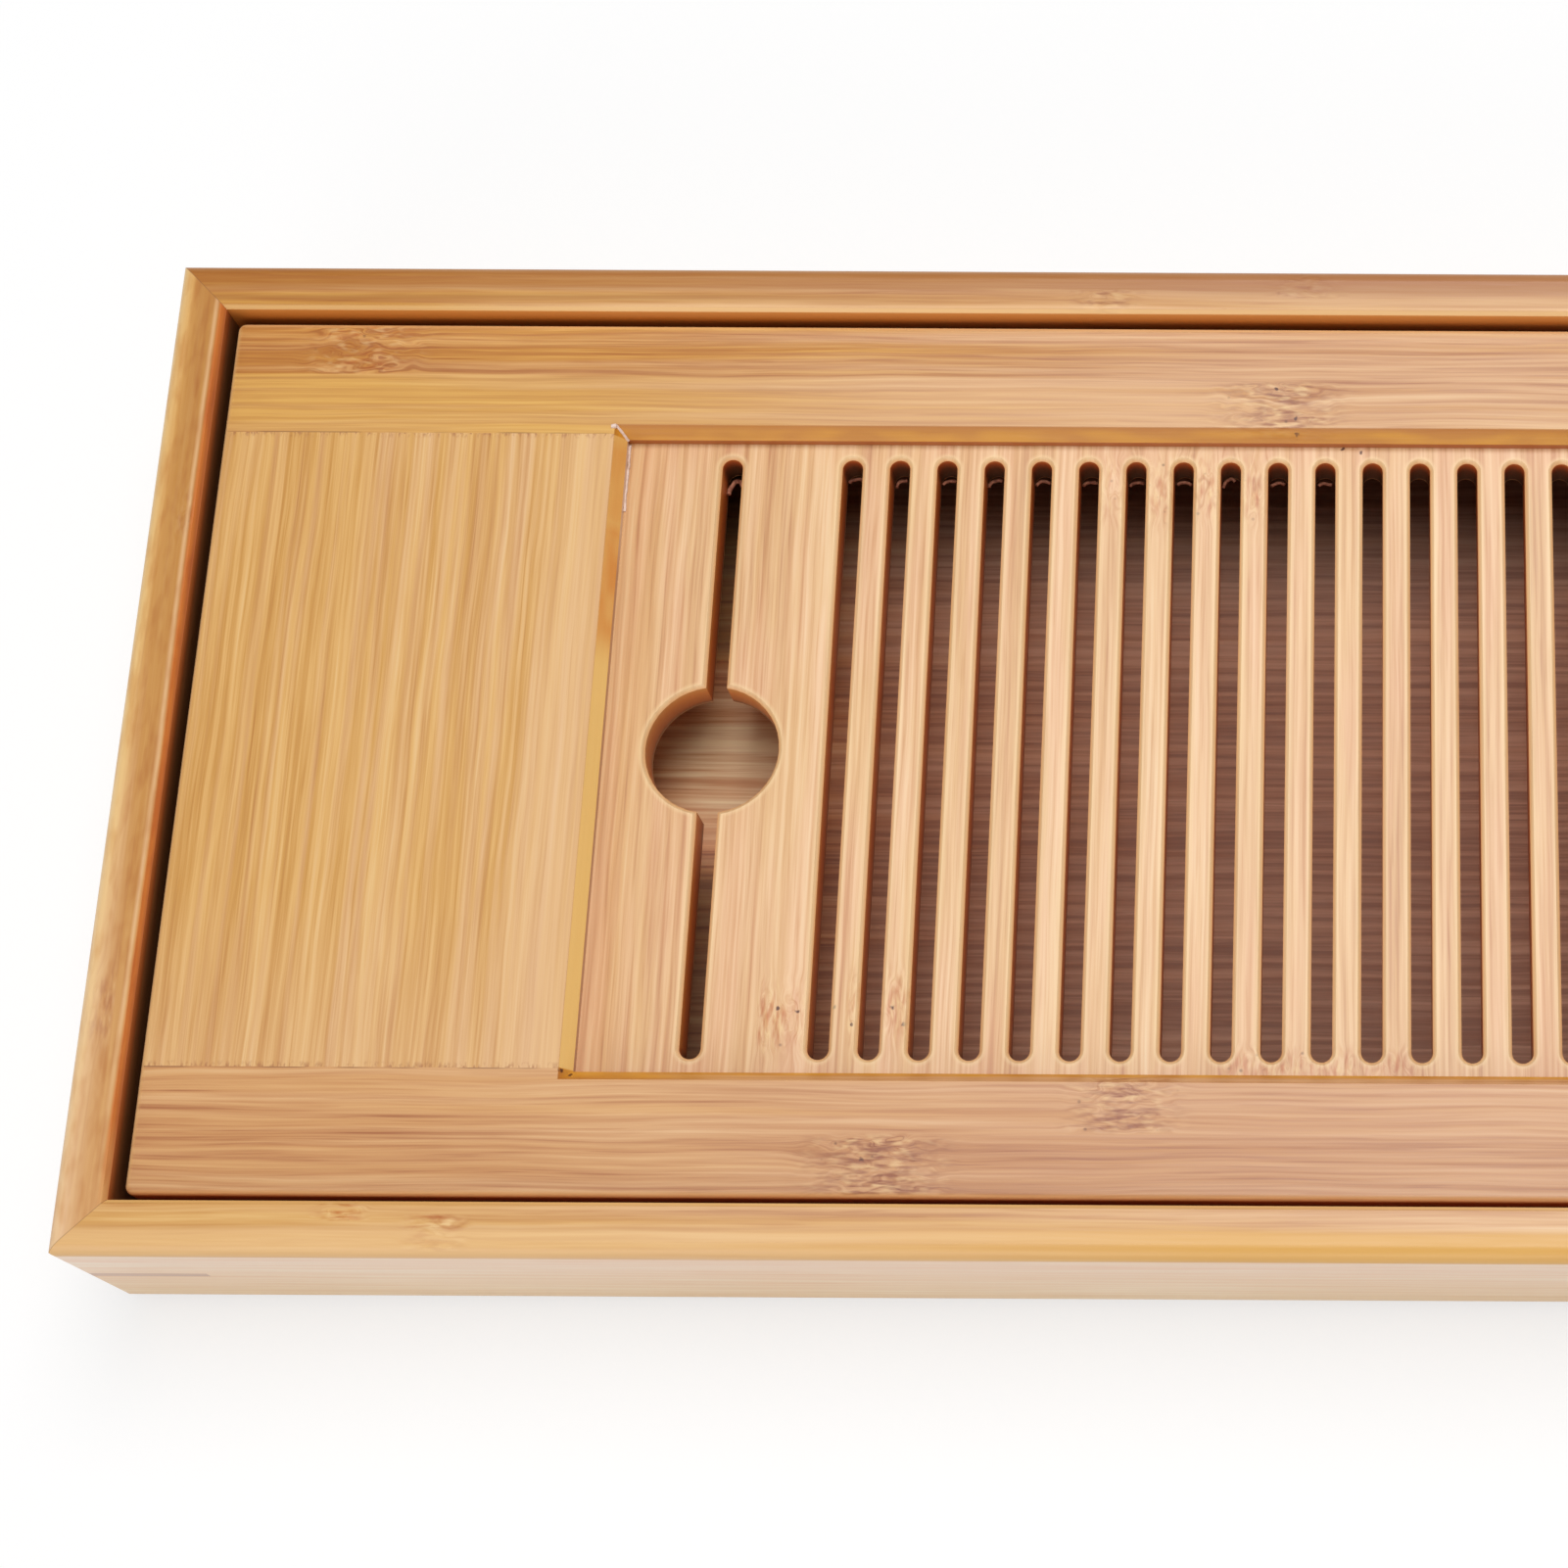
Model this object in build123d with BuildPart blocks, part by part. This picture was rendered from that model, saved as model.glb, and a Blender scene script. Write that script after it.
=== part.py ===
from build123d import *
import os

# Gongfu tea tray: a mitred bamboo frame that holds a water basin, under a slotted lid that lifts off.
# Millimetres. X runs along the tray, Y from front to back, Z up.
# The origin is the middle of the footprint, at the level that the feet stand on.

# Whole tray
tray_length = 356.0
tray_depth = 149.0
wall_height = 32.5
foot_proud = 1.5

# Frame walls, which stand round the lid
wall_thickness = 7.4
outer_top_round = 2.0
outer_bottom_round = 2.0
rim_ease = 0.6
corner_ease = 0.8

# Ledge strips, glued inside the walls from the bottom board up to the lid that they carry
ledge_width = 5.6
ledge_ease = 0.5

# Bottom board, held in a groove that runs round the inside of the walls
board_thickness = 4.0
board_recess = 3.0
groove_depth = 3.5
groove_slack = 0.5

# Mitre keys, let into a saw cut across each corner just below the lid
key_leg = 17.0
key_thickness = 2.0
key_below_lid = 2.5

# Lid
lid_drop = 2.6
lid_gap = 1.2
lid_corner_round = 1.2
lid_edge_round = 0.8
rail_width = 17.9
end_panel_width = 59.1

# Tongues and grooves that join the pieces of the lid
tongue_thickness = 3.0
tongue_depth = 4.0
tongue_slack = 0.3
tongue_height = 1.5

# Slotted panel, and the recess over it with a bevel round its top
panel_thickness = 6.0
recess_depth = 3.4
bevel_run = 1.6
bevel_drop = 2.1

# Slots, and the finger holes that two of them pass through
slot_width = 3.0
slot_pitch = 7.0
slot_end_margin = 2.3
slot_ease = 0.5
finger_hole_diameter = 19.2
finger_hole_inset = 15.5
finger_hole_margin = 17.5

# Feet, stuck under the bottom board
foot_diameter = 11.0
foot_taper = 8.0
foot_ease = 0.6
foot_inset = 12.0

# Levels and half sizes that follow from the sizes above
half_length = tray_length / 2
half_depth = tray_depth / 2
wall_bottom = foot_proud
wall_top = wall_bottom + wall_height
ledge_reach = wall_thickness + ledge_width
board_bottom = wall_bottom + board_recess
board_top = board_bottom + board_thickness
board_edge = wall_thickness - groove_depth + groove_slack
lid_top = wall_top - lid_drop
lid_thickness = recess_depth + panel_thickness
lid_bottom = lid_top - lid_thickness
lid_half_length = half_length - wall_thickness - lid_gap
lid_half_depth = half_depth - wall_thickness - lid_gap
panel_half_length = lid_half_length - end_panel_width
panel_half_depth = lid_half_depth - rail_width
tongue_bottom = lid_bottom + tongue_height
tongue_reach = tongue_depth - tongue_slack
key_top = lid_bottom - key_below_lid
key_bottom = key_top - key_thickness
slot_length = 2 * (panel_half_depth - slot_end_margin)
finger_hole_x = panel_half_length - finger_hole_inset
slots_each_side = int((finger_hole_x - finger_hole_margin) // slot_pitch)
foot_x = half_length - ledge_reach - foot_inset
foot_y = half_depth - ledge_reach - foot_inset

up = Vector(0, 0, 1)
sides = {"left": -1, "right": 1}
ends = {"front": -1, "back": 1}

os.makedirs("parts", exist_ok=True)


def key_plan(side_x, side_y):
    """The triangle of a mitre key, with its two legs along the outer faces of one corner."""
    x = side_x * half_length
    y = side_y * half_depth
    return [(x, y), (x - side_x * key_leg, y), (x, y - side_y * key_leg)]


def frame_side(inward):
    """One side of the frame: its outer middle, its direction, half its length and its mitred plan."""
    reach, half_run = (half_depth, half_length) if inward.Y else (half_length, half_depth)
    middle = inward * -reach
    along = inward.cross(up)
    outer_ends = [middle - along * half_run, middle + along * half_run]
    inner_ends = [outer_ends[1] + (inward - along) * ledge_reach,
                  outer_ends[0] + (inward + along) * ledge_reach]
    plan = [(corner.X, corner.Y) for corner in outer_ends + inner_ends]
    return middle, along, half_run, plan


def make_wall(name, inward):
    """One wall of the frame: a moulded strip, grooved for the bottom board and mitred at both ends."""
    middle, along, half_run, plan = frame_side(inward)
    with BuildPart() as wall:
        # Section, measured inwards from the outer face
        with BuildSketch(Plane(origin=middle, x_dir=inward, z_dir=along)) as section:
            with Locations((wall_thickness / 2, wall_bottom + wall_height / 2)):
                Rectangle(wall_thickness, wall_height)
            rim_corner = section.vertices().group_by(Axis.Y)[-1].sort_by(Axis.X)[-1]
            chamfer(rim_corner, length=rim_ease)
            top_corner = section.vertices().group_by(Axis.X)[0].sort_by(Axis.Y)[-1]
            fillet(top_corner, radius=outer_top_round)
            bottom_corner = section.vertices().group_by(Axis.X)[0].sort_by(Axis.Y)[0]
            fillet(bottom_corner, radius=outer_bottom_round)
            with Locations((wall_thickness, board_bottom + board_thickness / 2)):
                Rectangle(2 * groove_depth, board_thickness, mode=Mode.SUBTRACT)
        extrude(amount=half_run, both=True)
        # Mitres at both ends, and the eased upright corners of the finished frame
        with BuildSketch(Plane.XY):
            RectangleRounded(tray_length, tray_depth, corner_ease)
            Polygon(*plan, align=None, mode=Mode.INTERSECT)
        extrude(amount=wall_top, mode=Mode.INTERSECT)
        add(saw_cuts.part, mode=Mode.SUBTRACT)
    wall.part.label = name
    export_step(wall.part, f"parts/{name}.step")


def make_ledge(name, inward):
    """The strip inside one wall that the lid rests on, mitred at both ends like the wall."""
    middle, along, half_run, plan = frame_side(inward)
    with BuildPart() as ledge:
        with BuildSketch(Plane(origin=middle, x_dir=inward, z_dir=along)) as section:
            with Locations((wall_thickness + ledge_width / 2, (board_top + lid_bottom) / 2)):
                Rectangle(ledge_width, lid_bottom - board_top)
            basin_corner = section.vertices().group_by(Axis.X)[-1].sort_by(Axis.Y)[-1]
            chamfer(basin_corner, length=ledge_ease)
        extrude(amount=half_run, both=True)
        with BuildSketch(Plane.XY):
            Polygon(*plan, align=None)
        extrude(amount=lid_bottom, mode=Mode.INTERSECT)
        add(saw_cuts.part, mode=Mode.SUBTRACT)
    ledge.part.label = name
    export_step(ledge.part, f"parts/{name}.step")


def make_key(name, side_x, side_y):
    """A thin key across one mitre, flush with both outer faces."""
    with BuildPart() as key:
        with BuildSketch(Plane.XY.offset(key_bottom)):
            RectangleRounded(tray_length, tray_depth, corner_ease)
            Polygon(*key_plan(side_x, side_y), align=None, mode=Mode.INTERSECT)
        extrude(amount=key_thickness)
    key.part.label = name
    export_step(key.part, f"parts/{name}.step")


def make_foot(name, side_x, side_y):
    """A low tapered foot under the bottom board, a little proud of the walls."""
    with BuildPart() as foot:
        with BuildSketch(Plane.XY):
            with Locations((side_x * foot_x, side_y * foot_y)):
                Circle(foot_diameter / 2)
        extrude(amount=board_bottom, taper=-foot_taper)
        chamfer(foot.edges().group_by(Axis.Z)[0], length=foot_ease)
    foot.part.label = name
    export_step(foot.part, f"parts/{name}.step")


def make_rail(name, side_y):
    """A long rail of the lid, rounded at the lid's edge and bevelled along the recess."""
    with BuildPart() as rail:
        with BuildSketch(Plane.XY.offset(lid_bottom)) as plan:
            with Locations((0, side_y * (lid_half_depth - rail_width / 2))):
                Rectangle(2 * lid_half_length, rail_width)
            outer_corners = plan.vertices().sort_by(Axis.Y, reverse=side_y > 0)[:2]
            fillet(outer_corners, radius=lid_corner_round)
        extrude(amount=lid_thickness)
        top_edges = rail.faces().sort_by(Axis.Z)[-1].edges().sort_by(Axis.Y, reverse=side_y > 0)
        fillet(top_edges[:-1], radius=lid_edge_round)
        # Groove for the tongues of the three panels
        with BuildSketch(Plane.XY.offset(tongue_bottom)):
            with Locations((0, side_y * panel_half_depth)):
                Rectangle(2 * lid_half_length, 2 * tongue_depth)
        extrude(amount=tongue_thickness, mode=Mode.SUBTRACT)
        # Bevel along the recess, mitred at its corners
        with BuildSketch(Plane.XY.offset(lid_top)):
            Rectangle(2 * (panel_half_length + bevel_run), 2 * (panel_half_depth + bevel_run))
        with BuildSketch(Plane.XY.offset(lid_top - bevel_drop)):
            Rectangle(2 * panel_half_length, 2 * panel_half_depth)
        loft(mode=Mode.SUBTRACT)
    rail.part.label = name
    export_step(rail.part, f"parts/{name}.step")


def make_end_panel(name, side_x):
    """A plain panel at one end of the lid, tongued into the rails and bevelled along the recess."""
    middle = side_x * (panel_half_length + end_panel_width / 2)
    with BuildPart() as end_panel:
        with BuildSketch(Plane.XY.offset(lid_bottom)):
            with Locations((middle, 0)):
                Rectangle(end_panel_width, 2 * panel_half_depth)
        extrude(amount=lid_thickness)
        top_face = end_panel.faces().sort_by(Axis.Z)[-1]
        recess_edge = top_face.edges().sort_by(Axis.X, reverse=side_x > 0)[-1]
        chamfer(recess_edge, length=bevel_run, length2=bevel_drop, reference=top_face)
        end_edge = end_panel.faces().sort_by(Axis.Z)[-1].edges().sort_by(Axis.X, reverse=side_x > 0)[0]
        fillet(end_edge, radius=lid_edge_round)
        # Tongues that reach into the rails
        with BuildSketch(Plane.XY.offset(tongue_bottom)):
            with Locations((middle, 0)):
                Rectangle(end_panel_width, 2 * (panel_half_depth + tongue_reach))
        extrude(amount=tongue_thickness)
        # Groove for the tongue of the slotted panel, cut through the other tongues as well
        with BuildSketch(Plane.XY.offset(tongue_bottom)):
            with Locations((side_x * panel_half_length, 0)):
                Rectangle(2 * tongue_depth, 2 * (panel_half_depth + tongue_depth))
        extrude(amount=tongue_thickness, mode=Mode.SUBTRACT)
    end_panel.part.label = name
    export_step(end_panel.part, f"parts/{name}.step")


# Saw cuts across the corners of the glued frame, which take the mitre keys
with BuildPart() as saw_cuts:
    with BuildSketch(Plane.XY.offset(key_bottom)):
        for side_x in sides.values():
            for side_y in ends.values():
                Polygon(*key_plan(side_x, side_y), align=None)
    extrude(amount=key_thickness)

for end, side_y in ends.items():
    make_wall(f"{end}_wall", Vector(0, -side_y, 0))
    make_ledge(f"{end}_ledge", Vector(0, -side_y, 0))
    make_rail(f"{end}_rail", side_y)
for side, side_x in sides.items():
    make_wall(f"{side}_wall", Vector(-side_x, 0, 0))
    make_ledge(f"{side}_ledge", Vector(-side_x, 0, 0))
    make_end_panel(f"{side}_end_panel", side_x)
    for end, side_y in ends.items():
        make_key(f"{end}_{side}_mitre_key", side_x, side_y)
        make_foot(f"{end}_{side}_foot", side_x, side_y)

# Bottom board of the basin
with BuildPart() as bottom_board:
    with BuildSketch(Plane.XY.offset(board_bottom)):
        Rectangle(2 * (half_length - board_edge), 2 * (half_depth - board_edge))
    extrude(amount=board_thickness)
bottom_board.part.label = "bottom_board"
export_step(bottom_board.part, "parts/bottom_board.step")

# Slotted panel, tongued into the rails and the end panels, its face below theirs
with BuildPart() as slotted_panel:
    with BuildSketch(Plane.XY.offset(lid_bottom)):
        Rectangle(2 * panel_half_length, 2 * panel_half_depth)
    extrude(amount=panel_thickness)
    with BuildSketch(Plane.XY.offset(tongue_bottom)):
        Rectangle(2 * (panel_half_length + tongue_reach), 2 * (panel_half_depth + tongue_reach))
    extrude(amount=tongue_thickness)
    # Draining slots, with a finger hole on the outermost slot at each end
    with BuildSketch(Plane.XY.offset(lid_bottom)):
        for step in range(-slots_each_side, slots_each_side + 1):
            with Locations((step * slot_pitch, 0)):
                SlotOverall(slot_length, slot_width, rotation=90)
        for side_x in sides.values():
            with Locations((side_x * finger_hole_x, 0)):
                SlotOverall(slot_length, slot_width, rotation=90)
                Circle(finger_hole_diameter / 2)
    extrude(amount=panel_thickness, mode=Mode.SUBTRACT)
    slot_rims = slotted_panel.faces().sort_by(Axis.Z)[-1].inner_wires().edges()
    chamfer(slot_rims, length=slot_ease)
slotted_panel.part.label = "slotted_panel"
export_step(slotted_panel.part, "parts/slotted_panel.step")
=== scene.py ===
import math
import bpy
from mathutils import Matrix, Vector


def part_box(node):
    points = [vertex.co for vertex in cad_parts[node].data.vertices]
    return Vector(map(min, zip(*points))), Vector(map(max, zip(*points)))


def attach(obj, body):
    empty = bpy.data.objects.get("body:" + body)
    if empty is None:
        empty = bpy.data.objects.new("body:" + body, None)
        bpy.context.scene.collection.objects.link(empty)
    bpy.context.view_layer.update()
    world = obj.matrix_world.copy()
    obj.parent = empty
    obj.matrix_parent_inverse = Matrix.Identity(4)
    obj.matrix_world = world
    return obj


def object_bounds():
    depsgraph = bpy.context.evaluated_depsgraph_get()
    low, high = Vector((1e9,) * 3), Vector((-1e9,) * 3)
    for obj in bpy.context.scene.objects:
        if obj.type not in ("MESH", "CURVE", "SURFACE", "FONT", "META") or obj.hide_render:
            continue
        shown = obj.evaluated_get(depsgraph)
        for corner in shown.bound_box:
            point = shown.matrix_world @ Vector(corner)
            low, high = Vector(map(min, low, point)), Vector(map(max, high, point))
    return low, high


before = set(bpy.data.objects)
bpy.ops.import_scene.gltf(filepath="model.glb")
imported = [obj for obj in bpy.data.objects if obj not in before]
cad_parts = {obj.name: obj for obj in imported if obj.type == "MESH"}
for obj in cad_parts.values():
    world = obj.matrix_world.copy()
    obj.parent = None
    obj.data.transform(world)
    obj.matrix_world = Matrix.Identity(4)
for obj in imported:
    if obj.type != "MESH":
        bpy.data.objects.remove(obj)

# Looks of the bamboo tea tray. Metres, X along the tray, Y to the back, Z up from the floor.
# Grain and edges are laid out in millimetres, because bamboo fibres are that fine.
cad_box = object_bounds()
TO_MM = 1000.0
X, Y, Z = range(3)


def in_mm(node, axis):
    """Where a piece of the frame starts and ends along one axis, in millimetres."""
    low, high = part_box(node)
    return low[axis] * TO_MM, high[axis] * TO_MM


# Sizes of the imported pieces
HALF_LENGTH, HALF_DEPTH = cad_box[1].x * TO_MM, cad_box[1].y * TO_MM
RIM_TOP = in_mm("front_wall", Z)[1]
LID_BOTTOM, LID_TOP = in_mm("front_rail", Z)
LID_HALF_LENGTH, LID_HALF_DEPTH = in_mm("front_rail", X)[1], in_mm("back_rail", Y)[1]
RAIL_EDGE = in_mm("back_rail", Y)[0]
PANEL_TOP = in_mm("slotted_panel", Z)[1]
RECESS_EDGE = -in_mm("left_end_panel", X)[1]
WALL_THICK = HALF_DEPTH + in_mm("front_wall", Y)[1]

# Sizes that the boxes don't tell, as in the part
OUTER_ROUND = 2.0
SLOT_EASE = 0.5
BEVEL_DROP = 2.1
FINGER_HOLE, FINGER_RADIUS = 94.8, 9.6
PITCH, SLOT_HALF_WIDTH, SLOT_STRAIGHT = 7.0, 1.5, 44.2
SLOTS_EACH_SIDE = 11
ROUND_FOOT = RIM_TOP - OUTER_ROUND


def srgb(red, green, blue):
    """A colour as it looks on screen, 0 to 255, made linear for a node."""
    def linear(value):
        value /= 255
        return value / 12.92 if value <= 0.04045 else ((value + 0.055) / 1.055) ** 2.4
    return (linear(red), linear(green), linear(blue), 1.0)


def grey(level):
    """A neutral colour for a node, with its level already linear."""
    return (level, level, level, 1.0)


class Nodes:
    """Short calls that add nodes to one tree and wire them."""

    def __init__(self, tree):
        self.tree = tree

    def add(self, kind, **settings):
        node = self.tree.nodes.new(kind)
        for key, value in settings.items():
            setattr(node, key, value)
        return node

    def feed(self, socket, value):
        """Wire a socket to another one, or set its plain value."""
        if isinstance(value, bpy.types.NodeSocket):
            self.tree.links.new(value, socket)
        else:
            socket.default_value = value

    def math(self, operation, a, b=0.0):
        node = self.add("ShaderNodeMath", operation=operation)
        self.feed(node.inputs[0], a)
        self.feed(node.inputs[1], b)
        return node.outputs[0]

    def times(self, *factors):
        result = factors[0]
        for factor in factors[1:]:
            result = self.math("MULTIPLY", result, factor)
        return result

    def plus(self, a, b):
        return self.math("ADD", a, b)

    def minus(self, a, b):
        return self.math("SUBTRACT", a, b)

    def size(self, value):
        return self.math("ABSOLUTE", value)

    def length(self, a, b):
        return self.math("SQRT", self.plus(self.times(a, a), self.times(b, b)))

    def vector(self, x, y, z):
        node = self.add("ShaderNodeCombineXYZ")
        for socket, value in zip(node.inputs, (x, y, z)):
            self.feed(socket, value)
        return node.outputs[0]

    def split(self, vector):
        node = self.add("ShaderNodeSeparateXYZ")
        self.feed(node.inputs[0], vector)
        return node.outputs

    def place(self):
        """Where a point lies on its piece, in metres."""
        return self.add("ShaderNodeTexCoord").outputs["Object"]

    def noise(self, vector, lengths, detail=0.0, roughness=0.5):
        """Smooth noise spread over 0 to 1, with its grain as long as given along each axis."""
        shrunk = self.add("ShaderNodeVectorMath", operation="DIVIDE")
        self.feed(shrunk.inputs[0], vector)
        shrunk.inputs[1].default_value = lengths
        node = self.add("ShaderNodeTexNoise", noise_dimensions="3D")
        self.feed(node.inputs["Vector"], shrunk.outputs[0])
        node.inputs["Scale"].default_value = 1.0
        node.inputs["Detail"].default_value = detail
        node.inputs["Roughness"].default_value = roughness
        return self.between(node.outputs["Fac"], 0.28, 0.72)

    def between(self, value, low, high, smooth=False):
        """How far a value is on its way from low to high, held to 0 and 1."""
        node = self.add("ShaderNodeMapRange", clamp=True)
        node.interpolation_type = "SMOOTHSTEP" if smooth else "LINEAR"
        self.feed(node.inputs["Value"], value)
        self.feed(node.inputs["From Min"], low)
        self.feed(node.inputs["From Max"], high)
        return node.outputs["Result"]

    def within(self, value, low, high, soft):
        """1 from low to high, fading to 0 over a soft margin at each end."""
        middle, reach = (low + high) / 2, (high - low) / 2
        return self.between(self.size(self.minus(value, middle)), reach + soft, reach - soft)

    def ramp(self, factor, places, colours):
        """Colours along a factor, each at its place from 0 to 1."""
        node = self.add("ShaderNodeValToRGB")
        elements = node.color_ramp.elements
        while len(elements) < len(places):
            elements.new(0.5)
        for element, place, colour in zip(elements, places, colours):
            element.position = place
            element.color = srgb(*colour)
        self.feed(node.inputs[0], factor)
        return node.outputs[0]

    def mix(self, factor, a, b, blend="MIX"):
        node = self.add("ShaderNodeMix", data_type="RGBA", blend_type=blend)
        self.feed(node.inputs[0], factor)
        self.feed(node.inputs[6], a)
        self.feed(node.inputs[7], b)
        return node.outputs[2]

    def group(self, tree, *values):
        node = self.add("ShaderNodeGroup", node_tree=tree)
        for socket, value in zip(node.inputs, values):
            self.feed(socket, value)
        return node.outputs

    def relief(self, surface, height, strength, distance):
        """Raise a surface by a height, each unit of which is a distance in metres."""
        bump = self.add("ShaderNodeBump")
        bump.inputs["Strength"].default_value = strength
        bump.inputs["Distance"].default_value = distance
        self.feed(bump.inputs["Height"], height)
        self.feed(surface.inputs["Normal"], bump.outputs[0])


def new_material(name):
    """A new material, its nodes and its surface."""
    material = bpy.data.materials.new(name)
    material.use_nodes = True
    return material, Nodes(material.node_tree), material.node_tree.nodes["Principled BSDF"]


def new_group(name, inputs, outputs):
    """An empty node group with its sockets: inputs and outputs are (name, kind)."""
    tree = bpy.data.node_groups.new(name, "ShaderNodeTree")
    for direction, sockets in (("INPUT", inputs), ("OUTPUT", outputs)):
        for label, kind in sockets:
            tree.interface.new_socket(label, in_out=direction, socket_type=kind)
    nodes = Nodes(tree)
    return nodes, nodes.add("NodeGroupInput").outputs, nodes.add("NodeGroupOutput").inputs


VALUE, VECTOR = "NodeSocketFloat", "NodeSocketVector"


def grain_group():
    """Bamboo grain at a place given as millimetres along, across and deep."""
    nodes, given, result = new_group(
        "Bamboo grain",
        [("Place", VECTOR), ("Strip width", VALUE), ("Swirl", VALUE), ("Waviness", VALUE),
         ("Fibre size", VALUE)],
        [("Tone", VALUE), ("Hue", VALUE), ("Fine", VALUE)])
    along, across, deep = nodes.split(given["Place"])
    # The fibres wander a little, and far more beside a knuckle
    wander = nodes.minus(nodes.noise(given["Place"], (34, 8, 8), 1), 0.5)
    swirl = nodes.minus(nodes.noise(given["Place"], (5, 1.9, 1.9), 1), 0.5)
    shift = nodes.plus(nodes.times(wander, given["Waviness"]), nodes.times(swirl, given["Swirl"], 4.0))
    bent = nodes.plus(across, shift)
    place = nodes.vector(along, nodes.math("DIVIDE", bent, given["Fibre size"]),
                         nodes.math("DIVIDE", deep, given["Fibre size"]))
    streaks = nodes.noise(place, (52, 1.5, 1.5), 2, 0.55)
    fine = nodes.noise(place, (9, 0.45, 0.45), 1)
    dashes = nodes.between(nodes.noise(place, (10, 0.5, 0.5)), 0.74, 1.0)
    broad = nodes.noise(nodes.vector(along, bent, deep), (190, 7, 7), 1)
    # Each glued strip is a little lighter or darker than the next
    strip = nodes.math("FLOOR", nodes.math("DIVIDE", across, given["Strip width"]))
    chance = nodes.add("ShaderNodeTexWhiteNoise", noise_dimensions="1D")
    nodes.feed(chance.inputs["W"], strip)
    tone = nodes.minus(0.5, nodes.times(dashes, 0.12))
    for part, weight in ((streaks, 0.7), (fine, 0.2), (broad, 0.24), (chance.outputs["Value"], 0.2)):
        tone = nodes.plus(tone, nodes.times(nodes.minus(part, 0.5), weight))
    nodes.feed(result["Tone"], tone)
    nodes.feed(result["Hue"], nodes.noise(place, (75, 3.2, 3.2), 1))
    nodes.feed(result["Fine"], fine)
    return nodes.tree


def knuckle_group():
    """Where a bamboo knuckle crosses a strip: fading out along it, but cut off at the strip's edges."""
    nodes, given, result = new_group(
        "Bamboo knuckle",
        [("Place", VECTOR), ("Along", VALUE), ("Across", VALUE), ("Reach", VALUE), ("Width", VALUE)],
        [("Mask", VALUE)])
    along, across, _ = nodes.split(given["Place"])
    far_along = nodes.math("DIVIDE", nodes.minus(along, given["Along"]), given["Reach"])
    far_across = nodes.math("DIVIDE", nodes.minus(across, given["Across"]), given["Width"])
    fading = nodes.between(nodes.size(far_along), 1.0, 0.0, smooth=True)
    inside = nodes.between(nodes.size(far_across), 1.0, 0.8)
    nodes.feed(result["Mask"], nodes.times(fading, inside))
    return nodes.tree


GRAIN = grain_group()
KNUCKLE = knuckle_group()

# Bamboo tones, each from the darkest fibres to the palest
TONE_PLACES = (0.0, 0.35, 0.65, 1.0)
TONES = {
    "amber": [(160, 84, 20), (196, 128, 44), (220, 160, 70), (238, 190, 100)],
    "honey": [(172, 102, 40), (208, 148, 76), (222, 168, 94), (238, 192, 122)],
    "straw": [(184, 118, 46), (212, 155, 76), (231, 180, 106), (241, 200, 138)],
    "rosy": [(168, 98, 54), (205, 144, 88), (221, 166, 106), (234, 186, 128)],
    "pale": [(180, 116, 70), (213, 158, 108), (230, 182, 132), (242, 203, 158)],
    "cream": [(200, 140, 88), (224, 173, 116), (237, 191, 135), (247, 210, 160)],
    "milky": [(200, 142, 98), (228, 180, 130), (243, 200, 152), (252, 218, 176)],
    "warm": [(182, 100, 50), (226, 142, 82), (240, 162, 98), (250, 188, 126)],
    "brown": [(156, 88, 56), (198, 130, 90), (219, 152, 110), (238, 178, 136)],
}
STAIN, GOLDEN_STAIN, ROSY_STAIN = srgb(192, 154, 144), srgb(226, 170, 104), srgb(190, 128, 104)
PIT = srgb(82, 30, 10)
PIT_RADIUS = 0.34
SLOT_HIGHLIGHT = srgb(255, 222, 168)
RIDGE_HIGHLIGHT = srgb(255, 222, 160)
SEAM = srgb(120, 74, 44)


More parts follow.
